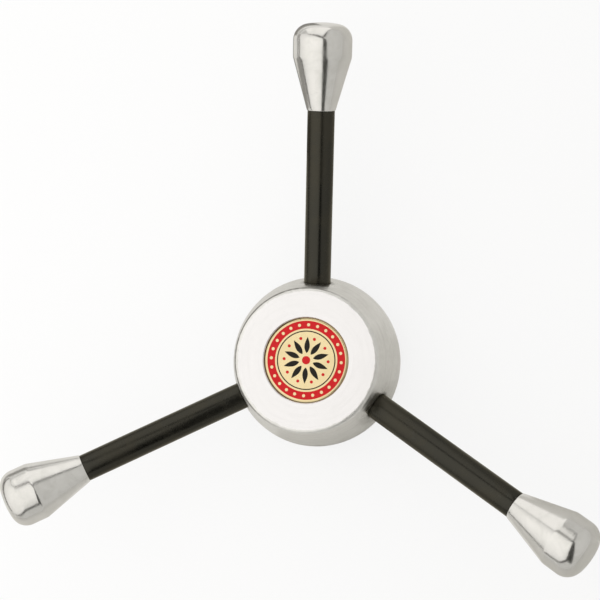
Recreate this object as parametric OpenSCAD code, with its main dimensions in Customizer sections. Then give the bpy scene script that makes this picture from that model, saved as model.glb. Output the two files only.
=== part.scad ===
// Three-spoke speed handle for a lathe.
// A turned conical hub carries three round rods that lean forward from the cone's side,
// each with a tapered knob on its end. A round badge lies in the hub's front face, and
// a boss behind the cone holds the shaft bore and its set screw.
// The hub's axis is +Z, the front face is up, and the bore opens at the origin.

/* [Hub cone] */
// Diameter of the front face, measured to its sharp corner
hub_front_d = 50.8; // [44:0.1:52]
// Diameter of the back of the cone, measured to its sharp corner
hub_back_d = 62; // [58:0.5:72]
// Height of the cone from its back to the front face
hub_h = 23; // [21:0.5:32]
// Radius on the edge of the front face
front_edge_r = 1.5; // [0.2:0.1:2]
// Radius on the back edge of the cone
back_edge_r = 1.2; // [0.3:0.1:2.5]

/* [Rear boss] */
// Diameter of the boss
boss_d = 38; // [34:0.5:46]
// Length of the boss behind the cone
boss_l = 12; // [10:0.5:24]
// Radius in the corner between the boss and the cone's back
boss_root_r = 1.5; // [0.5:0.1:3]
// Chamfer on the outer edge of the boss
boss_chamfer = 0.8; // [0.3:0.1:1.5]

/* [Shaft bore] */
// Diameter of the bore
bore_d = 12.7; // [9:0.1:15]
// Depth of the bore's straight wall
bore_depth = 26; // [20:0.5:28]
// Chamfer at the bore's mouth
bore_chamfer = 0.6; // [0.2:0.1:1.2]

/* [Set screw] */
// Thread diameter of the set screw
screw_d = 6.35; // [4:0.05:7]
// Length of the set screw
screw_l = 9.5; // [6:0.5:11]
// Height of the set screw above the boss's end face
screw_z = 6; // [4.5:0.25:8]
// Distance of the screw's tip from the bore's wall
screw_back_off = 0.3; // [0.1:0.1:1]
// Width of the hex socket across its flats
socket_af = 3.175; // [1.5:0.025:3.5]
// Depth of the hex socket
socket_depth = 4; // [2:0.25:5]

/* [Badge] */
// Diameter of the badge
badge_d = 29.6; // [20:0.2:36]
// Thickness of the badge in its middle
badge_t = 1.2; // [0.8:0.1:2.5]
// Depth of the badge's seat below the front face
badge_sink = 1.9; // [1:0.1:2.6]
// Radius on the lip of the badge's seat
lip_r = 0.5; // [0.2:0.1:0.8]
// Width of the badge's rolled edge
roll_w = 0.9; // [0.5:0.1:2]
// Drop of the badge's rolled edge
roll_drop = 0.25; // [0.1:0.05:0.4]

/* [Spokes] */
// Diameter of the rods
rod_d = 9.525; // [8.5:0.025:11]
// Length of rod between its two shoulders
rod_l = 62; // [40:0.5:120]
// Height of the rod's centre on the cone, above the cone's back
seat_h = 10.84; // [9:0.02:13]
// Lean of the rods towards the front, in degrees
rod_lean = 16.24; // [12:0.02:20]
// Least depth of the flat seat cut into the cone
seat_rim_h = 0.44; // [0.05:0.01:0.6]
// Diameter of the tenon screwed into the hub
hub_tenon_d = 7.94; // [6:0.02:8.2]
// Length of the tenon screwed into the hub
hub_tenon_l = 14; // [8:0.5:15]
// Diameter of the tenon screwed into the knob
knob_tenon_d = 6.35; // [4:0.05:7]
// Length of the tenon screwed into the knob
knob_tenon_l = 12; // [8:0.5:16]
// Chamfer on the tip of each tenon
tenon_chamfer = 0.8; // [0.3:0.1:1.2]
// Edge break on the rod's shoulders
rod_edge = 0.25; // [0.1:0.05:0.5]

/* [Knobs] */
// Diameter of the knob's small end
knob_end_d = 10; // [9:0.1:12]
// Largest diameter of the knob
knob_d = 20.4; // [17:0.2:26]
// Length of the knob
knob_l = 30; // [27:0.5:44]
// Length of the taper, measured to its sharp corner
taper_l = 18.2; // [15:0.2:19]
// Radius that blends the taper into the band
blend_r = 4.5; // [3:0.5:16]
// Radius of the knob's outer corner
corner_r = 5.6; // [3:0.1:6.5]
// Radius of the domed end
dome_r = 29; // [20:0.5:60]
// Edge break on the small end
knob_edge = 0.2; // [0.1:0.05:0.4]

/* [Clearances] */
// Gap between a thread's crest and its hole, on the radius
thread_gap = 0.05; // [0.02:0.01:0.15]
// Gap round a rod in its seat, on the radius
seat_gap = 0.12; // [0.05:0.01:0.3]
// Gap round the badge in its seat, on the radius
badge_gap = 0.08; // [0.03:0.01:0.2]
// Depth of a hole past the end of its tenon
hole_spare = 2; // [0.5:0.25:2.5]

/* [Hidden] */

$fn = 96;
arc_steps = 8;
spoke_count = 3;
first_spoke_az = 90;
screw_az = 270;
drill_half_angle = 59;
cut = 1;

// Heights along the hub's axis
cone_z = boss_l;
face_z = boss_l + hub_h;
badge_z = face_z - badge_sink;

// The rods' lines meet on the hub's axis, and each crosses the cone's side at the seat's height
slope = atan2((hub_back_d - hub_front_d) / 2, hub_h);
seat_r = hub_back_d / 2 - seat_h * tan(slope);
apex_z = cone_z + seat_h - seat_r * tan(rod_lean);
cone_s = seat_r / cos(rod_lean);

// The seat is cut just deep enough for its whole rim to lie in the curved side
seat_d = rod_d + 2 * seat_gap;
seat_sag = cone_s - sqrt(cone_s * cone_s - seat_d * seat_d / 4);
seat_skew = seat_d / 2 * tan(abs(rod_lean - slope));
seat_s = cone_s - seat_sag - seat_skew - seat_rim_h;
knob_s = seat_s + rod_l;

// Unit vector of v
function unit(v) = v / norm(v);

// Points on the arc that rounds corner b between a and c with radius r
function rounded(a, b, c, r) =
    let (u = unit(a - b), v = unit(c - b))
    let (half = acos(u * v) / 2)
    let (centre = b + unit(u + v) * r / sin(half))
    let (from = b + u * r / tan(half) - centre, to = b + v * r / tan(half) - centre)
    arc(centre, r, atan2(from[1], from[0]), atan2(to[1], to[0]));

// Points on the shorter arc about centre from angle a0 to angle a1
function arc(centre, r, a0, a1) =
    let (turn = a1 - a0)
    let (sweep = turn > 180 ? turn - 360 : turn < -180 ? turn + 360 : turn)
    [for (i = [0:arc_steps]) let (a = a0 + sweep * i / arc_steps) centre + r * [cos(a), sin(a)]];

// Turned along +Z from the axis to the spoke's own line, apex at the hub's axis
module on_spoke(i) {
    translate([0, 0, apex_z])
        rotate([0, 0, first_spoke_az + (i - 1) * 360 / spoke_count])
            rotate([0, 90 - rod_lean, 0])
                children();
}

// Turned to the set screw's line, which runs outwards from the hub's axis
module on_screw_line() {
    translate([0, 0, screw_z])
        rotate([0, 0, screw_az])
            rotate([0, 90, 0])
                children();
}

// Hole of diameter d and straight depth h, cut down from the origin, with a drill's pointed bottom
module drilled(d, h) {
    translate([0, 0, -h])
        cylinder(d = d, h = h + cut);
    translate([0, 0, -h - d / 2 / tan(drill_half_angle)])
        cylinder(d1 = 0, d2 = d, h = d / 2 / tan(drill_half_angle));
}

// Outer form of the hub, turned in one piece with the seat for its badge
module hub_turning() {
    boss_r = boss_d / 2;
    root = [boss_r, cone_z];
    back = [hub_back_d / 2, cone_z];
    front = [hub_front_d / 2, face_z];
    lip = [badge_d / 2 + badge_gap, face_z];
    foot = [badge_d / 2 + badge_gap, badge_z];
    rotate_extrude()
        polygon(concat(
            [[0, 0], [boss_r - boss_chamfer, 0], [boss_r, boss_chamfer]],
            rounded([boss_r, 0], root, back, boss_root_r),
            rounded(root, back, front, back_edge_r),
            rounded(back, front, [0, face_z], front_edge_r),
            rounded(front, lip, foot, lip_r),
            [foot, [0, badge_z]]));
}

module hub() {
    color("silver")
        difference() {
            hub_turning();
            rotate([180, 0, 0])
                drilled(bore_d, bore_depth);
            translate([0, 0, -cut])
                cylinder(d1 = bore_d + 2 * (bore_chamfer + cut), d2 = bore_d, h = bore_chamfer + cut);
            for (i = [1:spoke_count])
                on_spoke(i)
                    translate([0, 0, seat_s]) {
                        cylinder(d = seat_d, h = hub_back_d);
                        drilled(hub_tenon_d + 2 * thread_gap, hub_tenon_l + hole_spare);
                    }
            on_screw_line()
                cylinder(d = screw_d + 2 * thread_gap, h = boss_d);
        }
}

// Thin plate with its edge rolled down
module badge() {
    r = badge_d / 2;
    roll_r = (roll_w ^ 2 + roll_drop ^ 2) / (2 * roll_drop);
    roll_end = atan2(roll_r - roll_drop, roll_w);
    color("goldenrod")
        translate([0, 0, badge_z])
            rotate_extrude()
                polygon(concat(
                    [[0, 0], [r, 0]],
                    arc([r - roll_w, badge_t - roll_r], roll_r, roll_end, 90),
                    [[0, badge_t]]));
}

// Rod with a reduced tenon at each end
module spoke(i) {
    rod_r = rod_d / 2;
    hub_r = hub_tenon_d / 2;
    knob_r = knob_tenon_d / 2;
    color([0.16, 0.15, 0.13])
        on_spoke(i)
            translate([0, 0, seat_s])
                rotate_extrude()
                    polygon([
                        [0, -hub_tenon_l],
                        [hub_r - tenon_chamfer, -hub_tenon_l],
                        [hub_r, tenon_chamfer - hub_tenon_l],
                        [hub_r, 0],
                        [rod_r - rod_edge, 0],
                        [rod_r, rod_edge],
                        [rod_r, rod_l - rod_edge],
                        [rod_r - rod_edge, rod_l],
                        [knob_r, rod_l],
                        [knob_r, rod_l + knob_tenon_l - tenon_chamfer],
                        [knob_r - tenon_chamfer, rod_l + knob_tenon_l],
                        [0, rod_l + knob_tenon_l]]);
}

// Turned knob: straight taper, blended band, rounded corner and shallow dome
module knob(i) {
    end_r = knob_end_d / 2;
    band_r = knob_d / 2;
    dome_z = knob_l - dome_r;
    corner_z = dome_z + sqrt((dome_r - corner_r) ^ 2 - (band_r - corner_r) ^ 2);
    corner_top = atan2(corner_z - dome_z, band_r - corner_r);
    small_end = [end_r, 0];
    shoulder = [band_r, taper_l];
    color("gainsboro")
        on_spoke(i)
            translate([0, 0, knob_s])
                difference() {
                    rotate_extrude()
                        polygon(concat(
                            [[0, 0]],
                            rounded([0, 0], small_end, shoulder, knob_edge),
                            rounded(small_end, shoulder, [band_r, corner_z], blend_r),
                            arc([band_r - corner_r, corner_z], corner_r, 0, corner_top),
                            arc([0, dome_z], dome_r, corner_top, 90)));
                    rotate([180, 0, 0])
                        drilled(knob_tenon_d + 2 * thread_gap, knob_tenon_l + hole_spare);
                }
}

// Headless screw with a hex socket in its outer end and a cupped point
module set_screw() {
    r = screw_d / 2;
    point_r = r / 2;
    cup_depth = point_r / 2;
    color("dimgray")
        on_screw_line()
            translate([0, 0, bore_d / 2 + screw_back_off])
                difference() {
                    rotate_extrude()
                        polygon([
                            [0, cup_depth],
                            [point_r, 0],
                            [r, r - point_r],
                            [r, screw_l - tenon_chamfer],
                            [r - tenon_chamfer, screw_l],
                            [0, screw_l]]);
                    translate([0, 0, screw_l - socket_depth])
                        cylinder(d = socket_af / cos(30), h = socket_depth + cut, $fn = 6);
                }
}

hub();
badge();
spoke(1);  // spoke_1
spoke(2);  // spoke_2
spoke(3);  // spoke_3
knob(1);  // knob_1
knob(2);  // knob_2
knob(3);  // knob_3
set_screw();
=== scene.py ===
import math
import bpy
from mathutils import Matrix, Vector


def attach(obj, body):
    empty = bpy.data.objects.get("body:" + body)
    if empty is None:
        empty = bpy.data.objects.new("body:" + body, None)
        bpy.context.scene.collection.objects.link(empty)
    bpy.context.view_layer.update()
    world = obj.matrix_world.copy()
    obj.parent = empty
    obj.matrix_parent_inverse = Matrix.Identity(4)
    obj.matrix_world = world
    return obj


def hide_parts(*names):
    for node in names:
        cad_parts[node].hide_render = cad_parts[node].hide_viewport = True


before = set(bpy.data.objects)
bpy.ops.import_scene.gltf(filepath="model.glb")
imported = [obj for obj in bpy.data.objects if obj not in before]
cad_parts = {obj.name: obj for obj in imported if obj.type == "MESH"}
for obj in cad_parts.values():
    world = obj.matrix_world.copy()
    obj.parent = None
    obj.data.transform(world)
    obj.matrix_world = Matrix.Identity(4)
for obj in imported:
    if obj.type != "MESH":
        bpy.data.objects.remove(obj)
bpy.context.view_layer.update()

mm = 0.001
scene = bpy.context.scene
scene.view_settings.view_transform = "Standard"
print("frame loaded:", len(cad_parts), "nodes")


# outlines are (radius, height) pairs in millimetres

def arcPoints(centre, radius, fromDeg, toDeg, steps):
    sweep = (toDeg - fromDeg + 180) % 360 - 180    # the shorter way round
    angles = [math.radians(fromDeg + sweep * k / steps) for k in range(steps + 1)]
    return [(centre[0] + radius * math.cos(a), centre[1] + radius * math.sin(a)) for a in angles]


def roundCorner(before, corner, after, radius, steps=8):
    tip = Vector(corner)
    u = (Vector(before) - tip).normalized()
    v = (Vector(after) - tip).normalized()
    half = u.angle(v) / 2
    centre = tip + (u + v).normalized() * radius / math.sin(half)
    start = tip + u * radius / math.tan(half) - centre
    stop = tip + v * radius / math.tan(half) - centre
    return arcPoints(centre, radius, math.degrees(math.atan2(start.y, start.x)),
                     math.degrees(math.atan2(stop.y, stop.x)), steps)


def evenRings(outline, gap):    # adds rings on long straight runs, so shading stays true beside each round
    out = [outline[0]]
    for a, b in zip(outline, outline[1:]):
        steps = max(1, math.ceil(math.dist(a, b) / gap))
        out += [(a[0] + (b[0] - a[0]) * k / steps, a[1] + (b[1] - a[1]) * k / steps) for k in range(1, steps + 1)]
    return out


def ringMesh(name, rings, sharpDeg=28):    # skins a row of point rings; a ring of one point is a pole
    points, loops, faces = [], [], []
    for ring in rings:
        loops.append(range(len(points), len(points) + len(ring)))
        points += [(x * mm, y * mm, z * mm) for x, y, z in ring]
    for low, high in zip(loops, loops[1:]):
        count = max(len(low), len(high))
        for k in range(count):
            n = (k + 1) % count
            if len(low) == 1:
                faces.append((low[0], high[n], high[k]))
            elif len(high) == 1:
                faces.append((low[k], low[n], high[0]))
            else:
                faces.append((low[k], low[n], high[n], high[k]))
    mesh = bpy.data.meshes.new(name)
    mesh.from_pydata(points, [], faces)
    mesh.shade_smooth()
    mesh.set_sharp_from_angle(angle=math.radians(sharpDeg))
    return mesh


def turnedMesh(name, outline, segments, sharpDeg=28):
    turns = [(math.cos(2 * math.pi * k / segments), math.sin(2 * math.pi * k / segments)) for k in range(segments)]
    rings = [[(0, 0, z)] if r < 1e-6 else [(r * c, r * s, z) for c, s in turns] for r, z in outline]
    return ringMesh(name, rings, sharpDeg)


def cutAway(mesh, cutters, sharpDeg=28):    # exact booleans, applied at once
    work = bpy.data.objects.new("cutWork", mesh)
    scene.collection.objects.link(work)
    tools = []
    for cutter, matrix in cutters:
        tool = bpy.data.objects.new("cutTool", cutter)
        scene.collection.objects.link(tool)
        tool.matrix_world = matrix
        step = work.modifiers.new("cut", "BOOLEAN")
        step.operation, step.solver, step.object = "DIFFERENCE", "EXACT", tool
        tools.append(tool)
    bpy.context.view_layer.update()
    done = bpy.data.meshes.new_from_object(work.evaluated_get(bpy.context.evaluated_depsgraph_get()))
    for extra in [work] + tools:
        bpy.data.objects.remove(extra)
    done.shade_smooth()
    done.set_sharp_from_angle(angle=math.radians(sharpDeg))
    return done


def flatShape(name, loops, thickness):    # closed outlines in one plane, inner ones are holes
    curve = bpy.data.curves.new(name, "CURVE")
    curve.dimensions, curve.fill_mode = "2D", "BOTH"
    curve.extrude = thickness / 2 * mm
    for loop in loops:
        spline = curve.splines.new("POLY")
        spline.points.add(len(loop) - 1)
        spline.use_cyclic_u = True
        for point, (x, y) in zip(spline.points, loop):
            point.co = (x * mm, y * mm, 0, 1)
    work = bpy.data.objects.new(name, curve)
    scene.collection.objects.link(work)
    bpy.context.view_layer.update()
    mesh = bpy.data.meshes.new_from_object(work.evaluated_get(bpy.context.evaluated_depsgraph_get()))
    bpy.data.objects.remove(work)
    bpy.data.curves.remove(curve)
    return mesh


def newPiece(name, mesh, material, matrix=Matrix(), node=None):
    own = mesh.attributes.new("own", "FLOAT_VECTOR", "POINT")    # the piece's own frame, for its material
    own.data.foreach_set("vector", [c for v in mesh.vertices for c in v.co])
    mesh.transform(matrix)
    mesh.materials.clear()
    mesh.materials.append(material)
    piece = bpy.data.objects.new(name, mesh)
    scene.collection.objects.link(piece)
    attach(piece, "root")
    if node:
        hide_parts(node)
    return piece


# camera, from the perspective fit to the photograph

photoView = {
    "place": (0.0863, -0.0041, 0.52176),
    "right": (0.9815, 0.0720, -0.1775),
    "up": (-0.0618, 0.9961, 0.0623),
    "back": (0.1813, -0.0502, 0.9821),
    "lens": 85.28,
    "sensor": 36.0,
}

cameraData = bpy.data.cameras.new("photoCamera")
cameraData.lens, cameraData.sensor_width = photoView["lens"], photoView["sensor"]
cameraData.clip_start, cameraData.clip_end = 0.01, 50
camera = bpy.data.objects.new("photoCamera", cameraData)
scene.collection.objects.link(camera)
turn = Matrix((photoView["right"], photoView["up"], photoView["back"])).transposed().to_quaternion()
camera.matrix_world = Matrix.Translation(photoView["place"]) @ turn.to_matrix().to_4x4()
scene.camera = camera
print("camera set")


# node helpers

def addNode(tree, kind, **settings):
    node = tree.nodes.new(kind)
    for key, value in settings.items():
        if key in node.inputs:
            node.inputs[key].default_value = value
        else:
            setattr(node, key, value)
    return node


def feed(tree, value, socket):    # a link from a socket, or a plain number
    if isinstance(value, bpy.types.NodeSocket):
        tree.links.new(value, socket)
    else:
        socket.default_value = value


def calc(tree, operation, *values, clamp=False):
    node = addNode(tree, "ShaderNodeMath", operation=operation, use_clamp=clamp)
    for socket, value in zip(node.inputs, values):
        feed(tree, value, socket)
    return node.outputs[0]


def rescale(tree, value, low, high, toLow=0.0, toHigh=1.0, kind="SMOOTHSTEP"):
    node = addNode(tree, "ShaderNodeMapRange", interpolation_type=kind)
    for name, number in zip(("From Min", "From Max", "To Min", "To Max"), (low, high, toLow, toHigh)):
        feed(tree, number, node.inputs[name])
    feed(tree, value, node.inputs["Value"])
    return node.outputs["Result"]


def blendColour(tree, factor, first, second, kind="MIX"):
    node = addNode(tree, "ShaderNodeMix", data_type="RGBA", blend_type=kind)
    feed(tree, factor, node.inputs[0])
    for socket, colour in ((node.inputs[6], first), (node.inputs[7], second)):
        feed(tree, colour if isinstance(colour, bpy.types.NodeSocket) else (*colour, 1), socket)
    return node.outputs[2]


def newGroup(name, inputs, outputs):
    group = bpy.data.node_groups.new(name, "ShaderNodeTree")
    for socketName, kind, value in inputs:
        socket = group.interface.new_socket(socketName, in_out="INPUT", socket_type="NodeSocket" + kind)
        if kind == "Float":
            socket.default_value = value
    for socketName in outputs:
        group.interface.new_socket(socketName, in_out="OUTPUT", socket_type="NodeSocketFloat")
    return group, addNode(group, "NodeGroupInput"), addNode(group, "NodeGroupOutput")


def useGroup(tree, group, coord, **values):
    node = addNode(tree, "ShaderNodeGroup", node_tree=group)
    tree.links.new(coord, node.inputs["Coord"])
    for key, value in values.items():
        feed(tree, value, node.inputs[key])
    return node.outputs


def newMaterial(name):
    material = bpy.data.materials.new(name)
    material.use_nodes = True
    tree = material.node_tree
    tree.nodes.clear()
    shader = addNode(tree, "ShaderNodeBsdfPrincipled")
    out = addNode(tree, "ShaderNodeOutputMaterial")
    tree.links.new(shader.outputs[0], out.inputs["Surface"])
    coord = addNode(tree, "ShaderNodeAttribute", attribute_name="own").outputs["Vector"]
    return material, tree, shader, coord


def axisParts(tree, coord):    # x, y, z and the distance from the turning axis
    split = addNode(tree, "ShaderNodeSeparateXYZ")
    tree.links.new(coord, split.inputs[0])
    x, y, z = split.outputs
    square = calc(tree, "ADD", calc(tree, "MULTIPLY", x, x), calc(tree, "MULTIPLY", y, y))
    return x, y, z, calc(tree, "SQRT", square)


def ownShift(tree, times):    # a shift that differs from piece to piece
    return calc(tree, "MULTIPLY", addNode(tree, "ShaderNodeObjectInfo").outputs["Object Index"], times)


def addBump(tree, shader, height, strength, depth):
    bump = addNode(tree, "ShaderNodeBump", Strength=strength, Distance=depth)
    feed(tree, height, bump.inputs["Height"])
    tree.links.new(bump.outputs[0], shader.inputs["Normal"])


# shared effects, each in metres of the piece's own frame with the turning axis on Z

def makeTurnedLines():
    # tool marks that run round the axis and change slowly on the way
    group, given, out = newGroup("turnedLines", [("Coord", "Vector", 0), ("Pitch", "Float", 4000.0),
                                 ("Sway", "Float", 1.5), ("Shift", "Float", 0.0)], ["Lines"])
    x, y, z, radius = axisParts(group, given.outputs["Coord"])
    safe = calc(group, "MAXIMUM", radius, 1e-5)
    along = calc(group, "SUBTRACT", z, calc(group, "MULTIPLY", radius, 0.6))
    join = addNode(group, "ShaderNodeCombineXYZ")
    sway = given.outputs["Sway"]
    feed(group, calc(group, "MULTIPLY", calc(group, "DIVIDE", x, safe), sway), join.inputs[0])
    feed(group, calc(group, "MULTIPLY", calc(group, "DIVIDE", y, safe), sway), join.inputs[1])
    feed(group, calc(group, "MULTIPLY_ADD", along, given.outputs["Pitch"], given.outputs["Shift"]), join.inputs[2])
    noise = addNode(group, "ShaderNodeTexNoise", Scale=1.0, Detail=3.0, Roughness=0.6)
    group.links.new(join.outputs[0], noise.inputs["Vector"])
    feed(group, rescale(group, noise.outputs[0], 0.28, 0.72, kind="LINEAR"), out.inputs["Lines"])
    return group


def makeHaze():
    # smears and dull patches left by handling
    group, given, out = newGroup("handlingHaze", [("Coord", "Vector", 0), ("Scale", "Float", 80.0),
                                 ("Shift", "Float", 0.0)], ["Haze", "Mottle"])
    move = addNode(group, "ShaderNodeVectorMath", operation="ADD")
    group.links.new(given.outputs["Coord"], move.inputs[0])
    feed(group, given.outputs["Shift"], move.inputs[1])
    broad = addNode(group, "ShaderNodeTexNoise", Detail=4.0, Roughness=0.55, Distortion=0.6)
    small = addNode(group, "ShaderNodeTexNoise", Detail=5.0, Roughness=0.7)
    for noise, times in ((broad, 1.0), (small, 7.0)):
        group.links.new(move.outputs[0], noise.inputs["Vector"])
        feed(group, calc(group, "MULTIPLY", given.outputs["Scale"], times), noise.inputs["Scale"])
    feed(group, rescale(group, broad.outputs[0], 0.35, 0.7), out.inputs["Haze"])
    feed(group, rescale(group, small.outputs[0], 0.3, 0.7), out.inputs["Mottle"])
    return group


def makeScratches():
    # short fine scratches in two directions, broken up by noise
    group, given, out = newGroup("fineScratches", [("Coord", "Vector", 0), ("Scale", "Float", 120.0),
                                 ("Width", "Float", 0.02), ("Shift", "Float", 0.0)], ["Scratch"])
    total = None
    for lean, stretch in ((0.5, (1.0, 0.09, 0.4)), (2.0, (0.1, 1.0, 0.5))):
        turns = (lean, lean * 0.7, lean * 1.3)
        spin = addNode(group, "ShaderNodeVectorRotate", rotation_type="EULER_XYZ", Rotation=turns)
        group.links.new(given.outputs["Coord"], spin.inputs["Vector"])
        squeeze = addNode(group, "ShaderNodeVectorMath", operation="MULTIPLY_ADD")
        squeeze.inputs[1].default_value = stretch
        group.links.new(spin.outputs[0], squeeze.inputs[0])
        feed(group, given.outputs["Shift"], squeeze.inputs[2])
        cells = addNode(group, "ShaderNodeTexVoronoi", feature="DISTANCE_TO_EDGE")
        group.links.new(squeeze.outputs[0], cells.inputs["Vector"])
        feed(group, given.outputs["Scale"], cells.inputs["Scale"])
        line = rescale(group, cells.outputs["Distance"], 0.0, given.outputs["Width"], 1.0, 0.0)
        patch = addNode(group, "ShaderNodeTexNoise", Detail=2.0)
        group.links.new(squeeze.outputs[0], patch.inputs["Vector"])
        feed(group, calc(group, "MULTIPLY", given.outputs["Scale"], 0.9), patch.inputs["Scale"])
        line = calc(group, "MULTIPLY", line, rescale(group, patch.outputs[0], 0.58, 0.66))
        total = line if total is None else calc(group, "MAXIMUM", total, line)
    feed(group, total, out.inputs["Scratch"])
    return group


turnedLines, handlingHaze, fineScratches = makeTurnedLines(), makeHaze(), makeScratches()
print("effects ready")


# the spokes lean forward, and their lines meet on the hub's axis

spokeLine = {
    "apexZ": 14.579, "leanDeg": 16.24, "seatAlong": 28.4751, "rodLength": 62.0, "firstDeg": 90.0, "count": 3,
}


def onSpoke(index, along):
    spin = math.radians(spokeLine["firstDeg"] + (index - 1) * 360 / spokeLine["count"])
    lean = math.radians(90 - spokeLine["leanDeg"])
    return (Matrix.Translation((0, 0, spokeLine["apexZ"] * mm)) @ Matrix.Rotation(spin, 4, "Z")
            @ Matrix.Rotation(lean, 4, "Y") @ Matrix.Translation((0, 0, along * mm)))


# materials

hubFinish = {
    "side": (0.785, 0.77, 0.728), "face": (0.745, 0.727, 0.715), "groove": (0.46, 0.44, 0.405),
    # the dark colour on the next line is painted shade, used for the line under the rim and round the rods' seats
    "grazing": (0.75, 0.74, 0.71), "paintedShade": (0.13, 0.122, 0.105),
    "fine": {"Pitch": 9000.0, "Sway": 2.0}, "broad": {"Pitch": 1300.0, "Sway": 1.2, "Shift": 7.0},
    "haze": {"Scale": 70.0}, "scratch": {"Scale": 700.0, "Width": 0.012},
    "rimZ": 33.8, "rimFade": 1.1, "faceR": 24.05, "faceFade": 0.7, "raggedBy": 0.4,
    # these values place the painted line of shade under the rim, strongest on one side
    "lineZ": (34.34, 34.5, 34.74, 34.9), "lineR": (24.0, 24.5), "lineSide": (-0.9, 0.44, 0.0),
    "lineTurn": (-0.35, 0.55), "lineLeast": 0.04, "linePatch": 0.6, "lineWeight": (0.5, 0.8),
    # these values place the painted shade round the rods' seats
    "seatShadeReach": (4.85, 7.2), "seatShadeZ": (13.0, 15.0), "seatShadeRagged": 1.2, "seatShadeWeight": 0.9,
    "smoothReach": (6.8, 11.0), "smoothRough": 0.21,
    "broadFrom": 0.45, "broadDull": 0.22, "fineFrom": 0.7, "fineDull": 0.12,
    "mottleDull": 0.14, "hazeDull": 0.10, "scratchDull": 0.15, "faceDull": 0.2,
    "sideRough": 0.42, "rimRough": 0.38, "faceRough": 0.20,
    "hazeRough": 0.07, "broadRough": 0.06, "scratchRough": 0.06, "faceUneven": 0.3,
    "fineHigh": 0.4, "broadHigh": 0.8, "scratchDeep": 0.4, "faceHigh": 0.15,
    "markStrength": 0.5, "markDepth": 0.000004,
}


def rodDistance(tree, coord):    # distance from the closest rod's axis
    nearest = None
    for i in range(1, spokeLine["count"] + 1):
        fromApex = addNode(tree, "ShaderNodeVectorMath", operation="SUBTRACT")
        fromApex.inputs[1].default_value = (0, 0, spokeLine["apexZ"] * mm)
        tree.links.new(coord, fromApex.inputs[0])
        across = addNode(tree, "ShaderNodeVectorMath", operation="CROSS_PRODUCT")
        across.inputs[1].default_value = onSpoke(i, 0).col[2][:3]
        tree.links.new(fromApex.outputs[0], across.inputs[0])
        reach = addNode(tree, "ShaderNodeVectorMath", operation="LENGTH")
        tree.links.new(across.outputs[0], reach.inputs[0])
        reached = reach.outputs["Value"]
        nearest = reached if nearest is None else calc(tree, "MINIMUM", nearest, reached)
    return nearest


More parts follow.
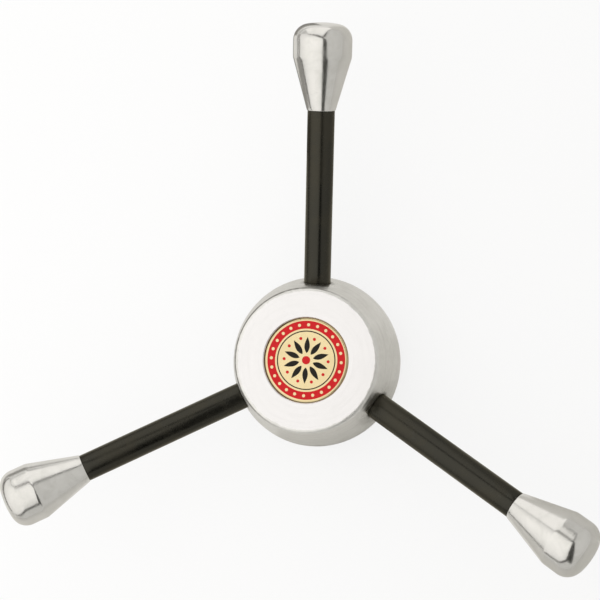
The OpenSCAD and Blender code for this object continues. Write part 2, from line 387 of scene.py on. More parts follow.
def makeHubAluminium(look):
    material, tree, shader, coord = newMaterial("turnedAluminium")
    fine = useGroup(tree, turnedLines, coord, **look["fine"])["Lines"]
    broad = useGroup(tree, turnedLines, coord, **look["broad"])["Lines"]
    haze = useGroup(tree, handlingHaze, coord, **look["haze"])
    scratch = useGroup(tree, fineScratches, coord, **look["scratch"])["Scratch"]
    mottle = haze["Mottle"]
    x, y, z, radius = axisParts(tree, coord)

    # the wiped face ends in a ragged edge
    onRim = rescale(tree, z, (look["rimZ"] - look["rimFade"]) * mm, look["rimZ"] * mm)
    ragged = calc(tree, "MULTIPLY_ADD", mottle, look["raggedBy"] * mm, radius)
    onFace = rescale(tree, ragged, look["faceR"] * mm, (look["faceR"] + look["faceFade"]) * mm, 1.0, 0.0)
    onFace = calc(tree, "MULTIPLY", onFace, onRim)

    # a painted dark line of shade just under the rim, strongest on one side
    aside = addNode(tree, "ShaderNodeVectorMath", operation="DOT_PRODUCT")
    aside.inputs[1].default_value = look["lineSide"]
    tree.links.new(coord, aside.inputs[0])
    turned = calc(tree, "DIVIDE", aside.outputs["Value"], calc(tree, "MAXIMUM", radius, mm))
    sided = rescale(tree, turned, *look["lineTurn"], look["lineLeast"], 1.0)
    low, lowFull, highFull, high = (h * mm for h in look["lineZ"])
    paintedShade = calc(tree, "MULTIPLY", rescale(tree, z, low, lowFull), rescale(tree, z, highFull, high, 1.0, 0.0))
    paintedShade = calc(tree, "MULTIPLY", paintedShade, rescale(tree, radius, *(r * mm for r in look["lineR"])))
    paintedShade = calc(tree, "MULTIPLY", paintedShade, sided)
    paintedShade = calc(tree, "MULTIPLY", paintedShade, rescale(tree, mottle, 0.0, look["linePatch"], *look["lineWeight"]))

    # painted shade round the rods' seats, where each rod meets the hub
    close, clear = (d * mm for d in look["seatShadeReach"])
    nearest = rodDistance(tree, coord)
    reach = calc(tree, "MULTIPLY_ADD", mottle, look["seatShadeRagged"] * mm, nearest)
    seatShade = rescale(tree, reach, close, clear, look["seatShadeWeight"], 0.0)
    seatShade = calc(tree, "MULTIPLY", seatShade, rescale(tree, z, *(h * mm for h in look["seatShadeZ"])))
    paintedShade = calc(tree, "MAXIMUM", paintedShade, seatShade)

    # tool marks, haze and scratches dull the metal, less so on the face
    streaks = calc(tree, "MULTIPLY", mottle, look["mottleDull"])
    streaks = calc(tree, "MULTIPLY_ADD", rescale(tree, broad, look["broadFrom"], 1.0), look["broadDull"], streaks)
    streaks = calc(tree, "MULTIPLY_ADD", rescale(tree, fine, look["fineFrom"], 1.0), look["fineDull"], streaks)
    dull = calc(tree, "MULTIPLY_ADD", haze["Haze"], look["hazeDull"], streaks)
    dull = calc(tree, "MULTIPLY", dull, rescale(tree, onFace, 0, 1, 1.0, look["faceDull"]))
    dull = calc(tree, "MULTIPLY_ADD", scratch, look["scratchDull"], dull, clamp=True)
    colour = blendColour(tree, onFace, look["side"], look["face"])
    colour = blendColour(tree, dull, colour, look["groove"])
    # the painted shade darkens the colour last
    tree.links.new(blendColour(tree, paintedShade, colour, look["paintedShade"]), shader.inputs["Base Color"])

    # the side is smoother round the seats, and mirrors the rods there
    rubbed = rescale(tree, nearest, *(d * mm for d in look["smoothReach"]), 1.0, 0.0)
    rough = rescale(tree, onRim, 0, 1, look["sideRough"], look["rimRough"])
    rough = rescale(tree, rubbed, 0, 1, rough, look["smoothRough"])
    rough = rescale(tree, onFace, 0, 1, rough, look["faceRough"])
    uneven = calc(tree, "MULTIPLY", broad, look["broadRough"])
    uneven = calc(tree, "MULTIPLY_ADD", haze["Haze"], look["hazeRough"], uneven)
    uneven = calc(tree, "MULTIPLY", uneven, rescale(tree, onFace, 0, 1, 1.0, look["faceUneven"]))
    rough = calc(tree, "MULTIPLY_ADD", scratch, look["scratchRough"], calc(tree, "ADD", rough, uneven))
    feed(tree, rough, shader.inputs["Roughness"])

    height = calc(tree, "MULTIPLY_ADD", fine, look["fineHigh"], calc(tree, "MULTIPLY", broad, look["broadHigh"]))
    height = calc(tree, "SUBTRACT", height, calc(tree, "MULTIPLY", scratch, look["scratchDeep"]))
    height = calc(tree, "MULTIPLY", height, rescale(tree, onFace, 0, 1, 1.0, look["faceHigh"]))
    addBump(tree, shader, height, look["markStrength"], look["markDepth"])
    shader.inputs["Metallic"].default_value = 1.0
    shader.inputs["Specular Tint"].default_value = (*look["grazing"], 1)
    return material


knobFinish = {
    "bright": (0.69, 0.672, 0.635), "dull": (0.645, 0.63, 0.59), "groove": (0.46, 0.45, 0.42),
    "grazing": (0.88, 0.87, 0.84), "ownShift": 3.7,
    "fine": {"Pitch": 2600.0, "Sway": 2.5}, "broad": {"Pitch": 700.0, "Sway": 2.0},
    "haze": {"Scale": 190.0}, "scratch": {"Scale": 800.0, "Width": 0.012},
    "fineFrom": 0.8, "fineDull": 0.25, "scratchDull": 0.2,
    "rough": 0.14, "hazeRough": 0.05, "fineRough": 0.03, "scratchRough": 0.10,
    "fineHigh": 0.35, "mottleHigh": 1.1, "markStrength": 0.8, "markDepth": 0.000005,
}


def makeKnobAluminium(look):
    material, tree, shader, coord = newMaterial("polishedAluminium")
    own = ownShift(tree, look["ownShift"])
    fine = useGroup(tree, turnedLines, coord, Shift=own, **look["fine"])["Lines"]
    broad = useGroup(tree, turnedLines, coord, Shift=own, **look["broad"])["Lines"]
    haze = useGroup(tree, handlingHaze, coord, Shift=own, **look["haze"])
    scratch = useGroup(tree, fineScratches, coord, Shift=own, **look["scratch"])["Scratch"]
    marks = calc(tree, "MULTIPLY", rescale(tree, fine, look["fineFrom"], 1.0), look["fineDull"])
    colour = blendColour(tree, haze["Haze"], look["bright"], look["dull"])
    colour = blendColour(tree, marks, colour, look["groove"])
    colour = blendColour(tree, calc(tree, "MULTIPLY", scratch, look["scratchDull"]), colour, look["groove"])
    tree.links.new(colour, shader.inputs["Base Color"])
    rough = calc(tree, "MULTIPLY_ADD", haze["Haze"], look["hazeRough"], look["rough"])
    rough = calc(tree, "MULTIPLY_ADD", fine, look["fineRough"], rough)
    feed(tree, calc(tree, "MULTIPLY_ADD", scratch, look["scratchRough"], rough), shader.inputs["Roughness"])
    height = calc(tree, "MULTIPLY_ADD", fine, look["fineHigh"], broad)
    height = calc(tree, "MULTIPLY_ADD", haze["Mottle"], look["mottleHigh"], height)
    addBump(tree, shader, height, look["markStrength"], look["markDepth"])
    shader.inputs["Metallic"].default_value = 1.0
    shader.inputs["Specular Tint"].default_value = (*look["grazing"], 1)
    return material


rodFinish = {
    "black": (0.043, 0.041, 0.033), "brown": (0.050, 0.046, 0.035), "scuff": (0.10, 0.095, 0.085),
    "grazing": (0.82, 0.79, 0.71), "ownShift": 2.3,
    "haze": {"Scale": 90.0}, "scratch": {"Scale": 600.0, "Width": 0.012},
    "grain": {"Scale": 2600.0, "Detail": 3.0, "Roughness": 0.6}, "grainStretch": (1.0, 1.0, 0.03),
    "scratchScuff": 0.35, "rough": 0.21, "hazeRough": 0.08, "mottleRough": 0.05, "scratchRough": 0.12,
    "mottleHigh": 0.5, "grainStrength": 0.35, "grainDepth": 0.000006,
}


def makeRodBlack(look):
    material, tree, shader, coord = newMaterial("rodBlack")
    own = ownShift(tree, look["ownShift"])
    haze = useGroup(tree, handlingHaze, coord, Shift=own, **look["haze"])
    scratch = useGroup(tree, fineScratches, coord, Shift=own, **look["scratch"])["Scratch"]
    stretch = addNode(tree, "ShaderNodeMapping")
    stretch.inputs["Scale"].default_value = look["grainStretch"]    # drawn bar: grain runs along the rod
    tree.links.new(coord, stretch.inputs["Vector"])
    grain = addNode(tree, "ShaderNodeTexNoise", **look["grain"])
    tree.links.new(stretch.outputs[0], grain.inputs["Vector"])
    colour = blendColour(tree, haze["Haze"], look["black"], look["brown"])
    colour = blendColour(tree, calc(tree, "MULTIPLY", scratch, look["scratchScuff"]), colour, look["scuff"])
    tree.links.new(colour, shader.inputs["Base Color"])
    rough = calc(tree, "MULTIPLY_ADD", haze["Haze"], look["hazeRough"], look["rough"])
    rough = calc(tree, "MULTIPLY_ADD", haze["Mottle"], look["mottleRough"], rough)
    feed(tree, calc(tree, "MULTIPLY_ADD", scratch, look["scratchRough"], rough), shader.inputs["Roughness"])
    height = calc(tree, "MULTIPLY_ADD", haze["Mottle"], look["mottleHigh"], grain.outputs[0])
    addBump(tree, shader, height, look["grainStrength"], look["grainDepth"])
    shader.inputs["Metallic"].default_value = 1.0
    shader.inputs["Specular Tint"].default_value = (*look["grazing"], 1)    # warm and a little dim at its edges
    return material


brassFinish = {
    # the edge colour is painted shade at the plate's rim, where it sits down in the recess
    "gold": (0.76, 0.625, 0.36), "tarnish": (0.55, 0.43, 0.21), "edge": (0.22, 0.175, 0.08),
    "lines": {"Pitch": 9000.0, "Sway": 3.0}, "haze": {"Scale": 220.0}, "scratch": {"Scale": 900.0, "Width": 0.012},
    # the last two values on the next line place the painted shade at the plate's edge
    "hazeDull": 0.12, "mottleDull": 0.12, "edgeShadeFrom": 14.45, "edgeShadeTo": 14.75,
    "rough": 0.26, "dullRough": 0.2, "scratchRough": 0.1, "markStrength": 0.4, "markDepth": 0.000003,
}


def makeBadgeBrass(look):
    material, tree, shader, coord = newMaterial("badgeBrass")
    lines = useGroup(tree, turnedLines, coord, **look["lines"])["Lines"]
    haze = useGroup(tree, handlingHaze, coord, **look["haze"])
    scratch = useGroup(tree, fineScratches, coord, **look["scratch"])["Scratch"]
    dull = calc(tree, "MULTIPLY", haze["Haze"], look["hazeDull"])
    dull = calc(tree, "MULTIPLY_ADD", haze["Mottle"], look["mottleDull"], dull, clamp=True)
    x, y, z, radius = axisParts(tree, coord)
    edgeShade = rescale(tree, radius, look["edgeShadeFrom"] * mm, look["edgeShadeTo"] * mm)    # painted shade at the plate's edge, where it sits down in the recess
    colour = blendColour(tree, dull, look["gold"], look["tarnish"])
    tree.links.new(blendColour(tree, edgeShade, colour, look["edge"]), shader.inputs["Base Color"])
    rough = calc(tree, "MULTIPLY_ADD", dull, look["dullRough"], look["rough"])
    feed(tree, calc(tree, "MULTIPLY_ADD", scratch, look["scratchRough"], rough), shader.inputs["Roughness"])
    addBump(tree, shader, calc(tree, "SUBTRACT", lines, scratch), look["markStrength"], look["markDepth"])
    shader.inputs["Metallic"].default_value = 1.0
    return material


inkFinish = {
    "red": {"main": (0.66, 0.014, 0.018), "shade": (0.57, 0.011, 0.014), "rough": 0.34},
    "black": {"main": (0.008, 0.007, 0.005), "shade": (0.020, 0.017, 0.011), "rough": 0.36},
    "haze": {"Scale": 260.0}, "scratch": {"Scale": 900.0, "Width": 0.012}, "hazeShade": 0.5, "mottleShade": 0.5,
    "hazeRough": 0.12, "scratchRough": 0.15, "gloss": 0.16, "skinStrength": 0.4, "skinDepth": 0.000004,
}


def makeInk(name, look):
    material, tree, shader, coord = newMaterial("badgeInk" + name.capitalize())
    haze = useGroup(tree, handlingHaze, coord, **look["haze"])
    scratch = useGroup(tree, fineScratches, coord, **look["scratch"])["Scratch"]
    uneven = calc(tree, "MULTIPLY", haze["Haze"], look["hazeShade"])
    uneven = calc(tree, "MULTIPLY_ADD", haze["Mottle"], look["mottleShade"], uneven, clamp=True)
    tree.links.new(blendColour(tree, uneven, look[name]["main"], look[name]["shade"]), shader.inputs["Base Color"])
    rough = calc(tree, "MULTIPLY_ADD", haze["Haze"], look["hazeRough"], look[name]["rough"])
    feed(tree, calc(tree, "MULTIPLY_ADD", scratch, look["scratchRough"], rough), shader.inputs["Roughness"])
    skin = calc(tree, "SUBTRACT", haze["Mottle"], scratch)
    addBump(tree, shader, skin, look["skinStrength"], look["skinDepth"])
    shader.inputs["Specular IOR Level"].default_value = look["gloss"]
    return material


screwFinish = {
    "oxide": (0.045, 0.044, 0.046), "worn": (0.20, 0.19, 0.18),
    "haze": {"Scale": 300.0}, "scratch": {"Scale": 1200.0, "Width": 0.03}, "scratchWorn": 0.6, "mottleWorn": 0.25,
    "rough": 0.34, "hazeRough": 0.15, "markStrength": 0.4, "markDepth": 0.000006,
}


def makeScrewSteel(look):
    material, tree, shader, coord = newMaterial("screwSteel")
    haze = useGroup(tree, handlingHaze, coord, **look["haze"])
    scratch = useGroup(tree, fineScratches, coord, **look["scratch"])["Scratch"]
    worn = calc(tree, "MULTIPLY", haze["Mottle"], look["mottleWorn"])
    worn = calc(tree, "MULTIPLY_ADD", scratch, look["scratchWorn"], worn, clamp=True)
    tree.links.new(blendColour(tree, worn, look["oxide"], look["worn"]), shader.inputs["Base Color"])
    rough = calc(tree, "MULTIPLY_ADD", haze["Haze"], look["hazeRough"], look["rough"])
    feed(tree, rough, shader.inputs["Roughness"])
    addBump(tree, shader, haze["Mottle"], look["markStrength"], look["markDepth"])
    shader.inputs["Metallic"].default_value = 1.0
    return material


hubAluminium, knobAluminium = makeHubAluminium(hubFinish), makeKnobAluminium(knobFinish)
rodBlack, badgeBrass, screwSteel = makeRodBlack(rodFinish), makeBadgeBrass(brassFinish), makeScrewSteel(screwFinish)
redInk, blackInk = makeInk("red", inkFinish), makeInk("black", inkFinish)
print("materials ready")


# set screw, and the thread that it shares with its hole in the boss

screwSizes = {
    "height": 6.0, "aroundDeg": 270, "tipAlong": 6.65, "length": 9.5, "crestR": 3.15, "rootR": 2.55,
    "pitch": 1.27, "threadFlat": 1.2, "threadSteep": 1.4, "threadGap": 0.06, "pointR": 1.5875, "cup": 0.79,
    "chamfer": 0.75, "socketFlat": 3.175, "socketDepth": 4.0, "socketTip": 0.5,
    "holeFrom": 3.0, "holePast": 2, "countersink": 0.45, "segments": 72, "row": 0.11, "sharpDeg": 35,
}
screwLine = (Matrix.Translation((0, 0, screwSizes["height"] * mm))
             @ Matrix.Rotation(math.radians(screwSizes["aroundDeg"]), 4, "Z")
             @ Matrix.Rotation(math.radians(90), 4, "Y"))


def threadRadius(size, z, k):    # a V thread with flats, climbing once round for each pitch
    phase = (z / size["pitch"] - k / size["segments"]) % 1.0
    wave = min(1.0, max(0.0, size["threadFlat"] - abs(phase - 0.5) * 2 * size["threadSteep"]))
    return size["rootR"] + (size["crestR"] - size["rootR"]) * wave


def roundRing(size, z, radiusAt):
    angles = [2 * math.pi * k / size["segments"] for k in range(size["segments"])]
    return [(radiusAt(k) * math.cos(a), radiusAt(k) * math.sin(a), z) for k, a in enumerate(angles)]


def hexRadius(size, k):
    turned = (360 * k / size["segments"]) % 60 - 30
    return size["socketFlat"] / 2 / math.cos(math.radians(turned))


def makeScrew(size):
    start, stop = size["tipAlong"], size["tipAlong"] + size["length"]
    rings = [[(0, 0, start + size["cup"])], roundRing(size, start, lambda k: size["pointR"])]
    rows = math.ceil(size["length"] / size["row"])
    for step in range(1, rows):
        z = start + size["length"] * step / rows
        limit = min(size["pointR"] + z - start, size["crestR"] - size["chamfer"] + stop - z)    # both ends taper
        rings.append(roundRing(size, z, lambda k: min(limit, threadRadius(size, z, k))))
    rings.append(roundRing(size, stop, lambda k: size["crestR"] - size["chamfer"]))
    for z in (stop, stop - size["socketDepth"]):
        rings.append(roundRing(size, z, lambda k: hexRadius(size, k)))
    rings.append([(0, 0, stop - size["socketDepth"] - size["socketTip"])])
    return ringMesh("set_screw", rings, size["sharpDeg"])


def makeScrewHole(size, bossR):
    grow, start, stop = size["threadGap"], size["holeFrom"], bossR + size["holePast"]
    rings = [[(0, 0, start)]]
    rows = math.ceil((stop - start) / size["row"])
    for step in range(rows + 1):
        z = start + (stop - start) * step / rows
        mouth = size["crestR"] + size["countersink"] + z - bossR    # opens out at the boss's side
        rings.append(roundRing(size, z, lambda k: max(mouth, threadRadius(size, z, k) + grow)))
    rings.append([(0, 0, stop)])
    return ringMesh("screwHole", rings)


newPiece("screw_set", makeScrew(screwSizes), screwSteel, screwLine, "set_screw")
print("set screw made")


# hub

hubSizes = {
    "frontR": 25.4, "backR": 31.0, "coneZ": 12.0, "faceZ": 35.0, "frontEdge": 1.5, "backEdge": 1.2,
    "bossR": 19.0, "bossRoot": 1.5, "bossChamfer": 0.8, "boreR": 6.35, "boreDepth": 26.0, "boreChamfer": 0.6,
    "drillTip": 3.816, "recessR": 14.88, "recessDepth": 1.9, "lip": 0.5,
    "seatR": 4.8825, "seatReach": 30, "seatSegments": 128, "tapR": 4.02, "tapDepth": 16.0, "tapTip": 2.415,
    "edgeBreak": 0.15, "ringGap": 1.6, "segments": 256,
}


def makeHub(size):
    bossR, coneZ, faceZ = size["bossR"], size["coneZ"], size["faceZ"]
    back, front, root = (size["backR"], coneZ), (size["frontR"], faceZ), (bossR, coneZ)
    outline = [(0, size["boreDepth"] + size["drillTip"]), (size["boreR"], size["boreDepth"]),
               (size["boreR"], size["boreChamfer"]), (size["boreR"] + size["boreChamfer"], 0)]
    chamferIn, chamferOut = (bossR - size["bossChamfer"], 0), (bossR, size["bossChamfer"])
    outline += roundCorner((0, 0), chamferIn, chamferOut, size["edgeBreak"], 3)
    outline += roundCorner(chamferIn, chamferOut, root, size["edgeBreak"], 3)
    outline += roundCorner((bossR, 0), root, back, size["bossRoot"], 8)
    outline += roundCorner(root, back, front, size["backEdge"], 10)
    outline += roundCorner(back, front, (0, faceZ), size["frontEdge"], 14)
    lip, foot = (size["recessR"], faceZ), (size["recessR"], faceZ - size["recessDepth"])
    outline += roundCorner(front, lip, foot, size["lip"], 10) + [foot, (0, foot[1])]
    body = turnedMesh("hub", evenRings(outline, size["ringGap"]), size["segments"])
    tap = [(0, -size["tapDepth"] - size["tapTip"]), (size["tapR"], -size["tapDepth"]), (size["tapR"], 0),
           (size["seatR"], 0), (size["seatR"], size["seatReach"]), (0, size["seatReach"])]
    seat = turnedMesh("rodSeat", tap, size["seatSegments"])
    cutters = [(seat, onSpoke(i, spokeLine["seatAlong"])) for i in range(1, spokeLine["count"] + 1)]
    cutters.append((makeScrewHole(screwSizes, bossR), screwLine))
    return cutAway(body, cutters)


newPiece("hub_turned", makeHub(hubSizes), hubAluminium, node="hub")
print("hub made")


# rods and knobs

rodSizes = {
    "radius": 4.7625, "edge": 0.25, "hubTenonR": 3.97, "hubTenon": 14.0, "knobTenonR": 3.175, "knobTenon": 12.0,
    "tenonChamfer": 0.8, "ringGap": 2.0, "segments": 128,
}


def makeRod(size, length):
    r, edge, cham = size["radius"], size["edge"], size["tenonChamfer"]
    hubR, knobR = size["hubTenonR"], size["knobTenonR"]
    hubEnd, knobEnd = -size["hubTenon"], length + size["knobTenon"]
    outline = [(0, hubEnd), (hubR - cham, hubEnd), (hubR, hubEnd + cham), (hubR, 0)]
    outline += roundCorner((0, 0), (r, 0), (r, length), edge, 4)
    outline += roundCorner((r, 0), (r, length), (0, length), edge, 4)
    outline += [(knobR, length), (knobR, knobEnd - cham), (knobR - cham, knobEnd), (0, knobEnd)]
    return turnedMesh("rod", evenRings(outline, size["ringGap"]), size["segments"])


knobSizes = {
    "endR": 5.0, "bandR": 10.185, "length": 29.97, "taper": 18.2, "blend": 4.5, "corner": 5.6, "dome": 29.0,
    "edge": 0.2, "holeR": 3.225, "holeDepth": 14.0, "holeTip": 1.938, "ringGap": 1.2, "segments": 192,
}


def makeKnob(size):
    domeZ = size["length"] - size["dome"]
    inset = size["bandR"] - size["corner"]
    cornerZ = domeZ + math.sqrt((size["dome"] - size["corner"]) ** 2 - inset ** 2)
    cornerTop = math.degrees(math.atan2(cornerZ - domeZ, inset))
    end, shoulder = (size["endR"], 0), (size["bandR"], size["taper"])
    outline = [(0, size["holeDepth"] + size["holeTip"]), (size["holeR"], size["holeDepth"]), (size["holeR"], 0)]
    outline += roundCorner((0, 0), end, shoulder, size["edge"], 5)
    outline += roundCorner(end, shoulder, (size["bandR"], cornerZ), size["blend"], 14)
    outline += arcPoints((inset, cornerZ), size["corner"], 0, cornerTop, 24)
    outline += arcPoints((0, domeZ), size["dome"], cornerTop, 90, 16)[1:-1] + [(0, size["length"])]
    return turnedMesh("knob", evenRings(outline, size["ringGap"]), size["segments"])


for i in range(1, spokeLine["count"] + 1):
    rod = newPiece(f"rod_{i}", makeRod(rodSizes, spokeLine["rodLength"]), rodBlack,
                   onSpoke(i, spokeLine["seatAlong"]), f"spoke_{i}")
    knob = newPiece(f"handle_knob_{i}", makeKnob(knobSizes), knobAluminium,
                    onSpoke(i, spokeLine["seatAlong"] + spokeLine["rodLength"]), f"knob_{i}")
    rod.pass_index = knob.pass_index = i    # shifts the wear, so no two are alike
print("rods and knobs made")


# badge: a gold plate with its edge rolled down, printed with a rosette in a beaded ring

badgeSizes = {
    "seatZ": 33.1, "radius": 14.8, "thick": 1.2, "rollWidth": 0.9, "rollDrop": 0.25, "rollSkipDeg": 4, "edge": 0.08,
    "ringGap": 1.5, "segments": 192, "ringCount": 160, "dotCount": 24, "eyeCount": 48,
    "ink": 0.015, "bandOuter": 13.75, "bandInner": 11.0, "beads": 24, "beadR": 0.55,
    "lineOuter": 10.35, "lineInner": 9.95, "petals": 10, "petalFrom": 2.5, "petalTo": 8.2, "petalWidth": 0.95,
    "dotR": 0.55, "dotAt": 7.8, "eyeR": 1.45,
}


def circleLoop(radius, at=(0, 0), count=96):
    return [(at[0] + radius * math.cos(2 * math.pi * k / count), at[1] + radius * math.sin(2 * math.pi * k / count))
            for k in range(count)]


def petalLoop(size, turnDeg, steps=12):
    span = size["petalTo"] - size["petalFrom"]
    turnBy = Matrix.Rotation(math.radians(turnDeg), 2)
    side = [(size["petalFrom"] + span * k / steps, size["petalWidth"] * math.sin(math.pi * (k / steps) ** 0.8))
            for k in range(steps + 1)]
    return [tuple(turnBy @ Vector(p)) for p in side + [(x, -y) for x, y in side[-2:0:-1]]]


def aroundCentre(radius, count, startDeg=0.0):
    angles = [math.radians(startDeg + 360 * k / count) for k in range(count)]
    return [(radius * math.cos(a), radius * math.sin(a)) for a in angles]


def makePlate(size):
    r, wide, drop = size["radius"], size["rollWidth"], size["rollDrop"]
    rollR = (wide ** 2 + drop ** 2) / (2 * drop)
    rollEnd = math.degrees(math.atan2(rollR - drop, wide))
    rollBy = math.radians(90 - rollEnd)
    rim = (r, size["thick"] - drop)
    inward = (r - math.cos(rollBy), rim[1] + math.sin(rollBy))
    outline = [(0, 0), (r, 0)] + roundCorner((r, 0), rim, inward, size["edge"], 3)
    outline += arcPoints((r - wide, size["thick"] - rollR), rollR, rollEnd + size["rollSkipDeg"], 90, 10)
    outline.append((0, size["thick"]))
    return turnedMesh("badgePlate", evenRings(outline, size["ringGap"]), size["segments"])


def placeInk(name, loops, material):
    z = badgeSizes["seatZ"] + badgeSizes["thick"] + badgeSizes["ink"] / 2
    mesh = flatShape(name, loops, badgeSizes["ink"])
    return newPiece(name, mesh, material, Matrix.Translation((0, 0, z * mm)), "badge")


newPiece("badge_plate", makePlate(badgeSizes), badgeBrass,
         Matrix.Translation((0, 0, badgeSizes["seatZ"] * mm)), "badge")
bandMiddle = (badgeSizes["bandOuter"] + badgeSizes["bandInner"]) / 2
ringCount, dotCount = badgeSizes["ringCount"], badgeSizes["dotCount"]
redLoops = [circleLoop(badgeSizes[key], count=ringCount) for key in ("bandOuter", "bandInner")]
redLoops += [circleLoop(badgeSizes["beadR"], at, dotCount) for at in aroundCentre(bandMiddle, badgeSizes["beads"])]
petalStep = 360 / badgeSizes["petals"]
redLoops += [circleLoop(badgeSizes["dotR"], at, dotCount)
             for at in aroundCentre(badgeSizes["dotAt"], badgeSizes["petals"], 90 + petalStep / 2)]
redLoops.append(circleLoop(badgeSizes["eyeR"], count=badgeSizes["eyeCount"]))
placeInk("badge_red", redLoops, redInk)
blackLoops = [circleLoop(badgeSizes[key], count=ringCount) for key in ("lineOuter", "lineInner")]
blackLoops += [petalLoop(badgeSizes, 90 + petalStep * k) for k in range(badgeSizes["petals"])]
placeInk("badge_black", blackLoops, blackInk)
print("badge made")


# studio: pale floor, grey room, soft panels on the left and far side that light the handle
# flags, shades and cards are seen only in reflections, and draw the bands in the metal

studio = {
    "floorSize": 6.0, "floorDrop": 0.05, "floorColour": (0.92, 0.915, 0.905), "floorLift": 0.75,
    "roomLow": (0.69, 0.69, 0.68), "roomHigh": (0.75, 0.75, 0.74), "roomTop": 0.7,
    "panelColour": (1.0, 0.995, 0.985), "hotSpot": (-200, 50, 300), "hotReach": (120, 430),
    "hotGlow": 1.28, "rimGlow": 1.04, "farGlow": 1.2,
    "black": (0.07, 0.07, 0.065), "dim": (0.34, 0.335, 0.325), "grey": (0.78, 0.775, 0.76),
    "panels": {
        "left_a": [(45, -215, 205), (70, 112, 435), (-120, 250, 520), (-360, -330, 2)],
        "left_b": [(-360, -330, 2), (-120, 250, 520), (-560, 470, 480), (-480, 330, 2)],
        "far_a": [(62, 228, 505), (-90, 375, 588), (-95, 900, 2), (200, 900, 2)],
        "far_b": [(-90, 375, 588), (-560, 530, 515), (-650, 900, 2), (-95, 900, 2)],
    },
    "flags": {
        "right": [(45, -215, 205), (195, -315, 125), (165, 93, 475), (70, 112, 435)],
        "corner": [(70, 112, 435), (165, 93, 475), (62, 228, 505), (-90, 375, 588), (-120, 250, 520)],
        "top": [(-120, 250, 520), (-92, 355, 585), (-560, 520, 512), (-560, 470, 480)],
        "near": [(45, -215, 205), (75, -236, 178), (-375, -362, 2), (-360, -330, 2)],
        "far": [(62, 228, 505), (138, 213, 505), (148, 392, 379), (142, 528, 279), (215, 900, 2), (200, 900, 2)],
        "foot": [(-350, -335, 0.5), (-470, 335, 0.5), (-445, 335, 45), (-320, -300, 45)],
    },
    "shades": {
        "corner": [(-165, 95, 1), (-185, 84, 1), (-240, 84, 1), (-320, 160, 1), (-310, 240, 1), (-255, 215, 1),
                   (-240, 420, 1), (-178, 420, 1), (-160, 200, 1)],
        "hub": [(26, -17, 1.4), (34, -20, 1.4), (29, -29, 1.4), (14, -37, 1.4), (0, -38, 1.4), (0, -30, 1.4),
                (14, -27, 1.4)],
        "west": [(-14, 92, 1), (-250, 82, 1), (-480, 60, 1), (-480, -200, 1), (-300, -200, 1), (-285, -115, 1),
                 (-262, -45, 1), (-190, 10, 1), (-130, 42, 1), (-60, 72, 1), (-14, 78, 1)],
        "north": [(-14, 92, 1), (-14, 200, 1), (-75, 195, 1), (-110, 150, 1), (-45, 130, 1), (-45, 92, 1)],
    },
    "cards": {
        "hub": [(42, 34, 1.2), (60, 36, 1.2), (66, 0, 1.2), (54, -30, 1.2), (30, -54, 1.2), (0, -62, 1.2),
                (-26, -58, 1.2), (-14, -22, 1.2), (0, -20, 1.2), (16, -16, 1.2), (32, -14, 1.2), (41, -4, 1.2)],
        "east": [(14, 64, 1), (60, 50, 1), (84, 20, 1), (84, -30, 1), (112, -60, 1), (1500, -60, 1), (1500, 1500, 1),
                 (14, 1500, 1)],
        "south": [(112, -62, 1), (70, -84, 1), (-60, -84, 1), (-95, -75, 1), (-250, -150, 1), (-600, -1500, 1),
                  (1500, -1500, 1), (1500, -62, 1)],
    },
}


def stagePiece(name, points, material):
    mesh = bpy.data.meshes.new(name)
    mesh.from_pydata([tuple(c * mm for c in p) for p in points], [], [tuple(range(len(points)))])
    mesh.materials.append(material)
    piece = bpy.data.objects.new(name, mesh)
    scene.collection.objects.link(piece)
    return piece


def plainMaterial(name, shaderKind, **settings):
    material = bpy.data.materials.new(name)
    material.use_nodes = True
    tree = material.node_tree
    tree.nodes.clear()
    shader = addNode(tree, shaderKind, **settings)
    out = addNode(tree, "ShaderNodeOutputMaterial")
    tree.links.new(shader.outputs[0], out.inputs["Surface"])
    return material, tree, shader, out


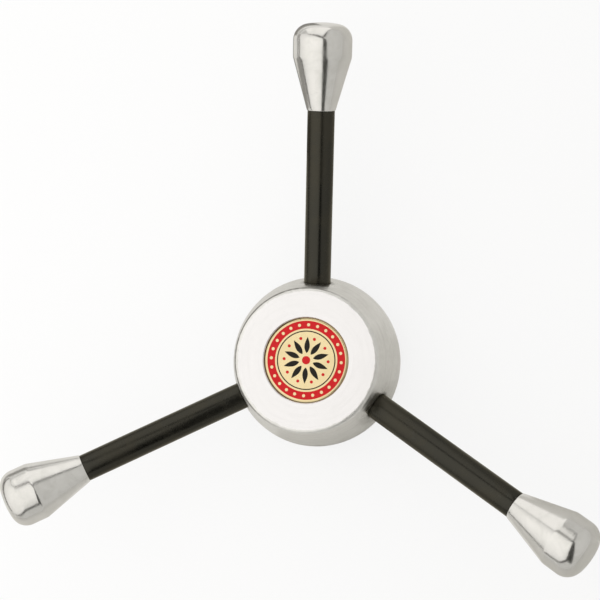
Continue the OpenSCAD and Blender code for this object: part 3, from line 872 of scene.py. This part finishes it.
def makeFloor(look):
    half = look["floorSize"] / 2 / mm
    paper, tree, shader, out = plainMaterial("paleFloor", "ShaderNodeBsdfDiffuse", Color=(*look["floorColour"], 1))
    path = addNode(tree, "ShaderNodeLightPath")
    seen = calc(tree, "ADD", path.outputs["Is Camera Ray"], path.outputs["Is Glossy Ray"])
    seen = calc(tree, "ADD", seen, path.outputs["Is Transmission Ray"], clamp=True)
    white = addNode(tree, "ShaderNodeEmission", Strength=1.0)
    mix = addNode(tree, "ShaderNodeMixShader")
    feed(tree, calc(tree, "MULTIPLY", seen, look["floorLift"]), mix.inputs[0])
    tree.links.new(shader.outputs[0], mix.inputs[1])
    tree.links.new(white.outputs[0], mix.inputs[2])
    tree.links.new(mix.outputs[0], out.inputs["Surface"])
    corners = ((-half, -half), (half, -half), (half, half), (-half, half))
    stagePiece("floor", [(x, y, -look["floorDrop"]) for x, y in corners], paper)


def makeRoom(look):    # a grey room, a little darker towards the horizon
    world = bpy.data.worlds.new("greyRoom")
    world.use_nodes = True
    tree = world.node_tree
    split = addNode(tree, "ShaderNodeSeparateXYZ")
    tree.links.new(addNode(tree, "ShaderNodeTexCoord").outputs["Generated"], split.inputs[0])
    upward = rescale(tree, split.outputs[2], 0.0, look["roomTop"])
    colour = blendColour(tree, upward, look["roomLow"], look["roomHigh"])
    tree.links.new(colour, tree.nodes["Background"].inputs["Color"])
    scene.world = world


def makePanels(look):
    panelColour = (*look["panelColour"], 1)
    soft, tree, shader, out = plainMaterial("softPanel", "ShaderNodeEmission", Color=panelColour)
    reach = addNode(tree, "ShaderNodeVectorMath", operation="DISTANCE")    # brightest round one spot, like a softbox
    tree.links.new(addNode(tree, "ShaderNodeNewGeometry").outputs["Position"], reach.inputs[0])
    reach.inputs[1].default_value = [c * mm for c in look["hotSpot"]]
    near, far = (d * mm for d in look["hotReach"])
    glow = rescale(tree, reach.outputs["Value"], near, far, look["hotGlow"], look["rimGlow"])
    feed(tree, glow, shader.inputs["Strength"])
    plain = plainMaterial("farPanel", "ShaderNodeEmission", Color=panelColour, Strength=look["farGlow"])[0]
    for name, points in look["panels"].items():
        stagePiece("panel_" + name, points, soft if name.startswith("left") else plain).visible_camera = False
    for group, tone in (("flags", "black"), ("shades", "dim"), ("cards", "grey")):
        cloth = plainMaterial(tone + "Cloth", "ShaderNodeBsdfDiffuse", Color=(*look[tone], 1))[0]
        for name, points in look[group].items():
            flag = stagePiece(f"{group}_{name}", points, cloth)
            flag.visible_camera = flag.visible_diffuse = flag.visible_shadow = False


makeFloor(studio)
makeRoom(studio)
makePanels(studio)
print("studio ready")
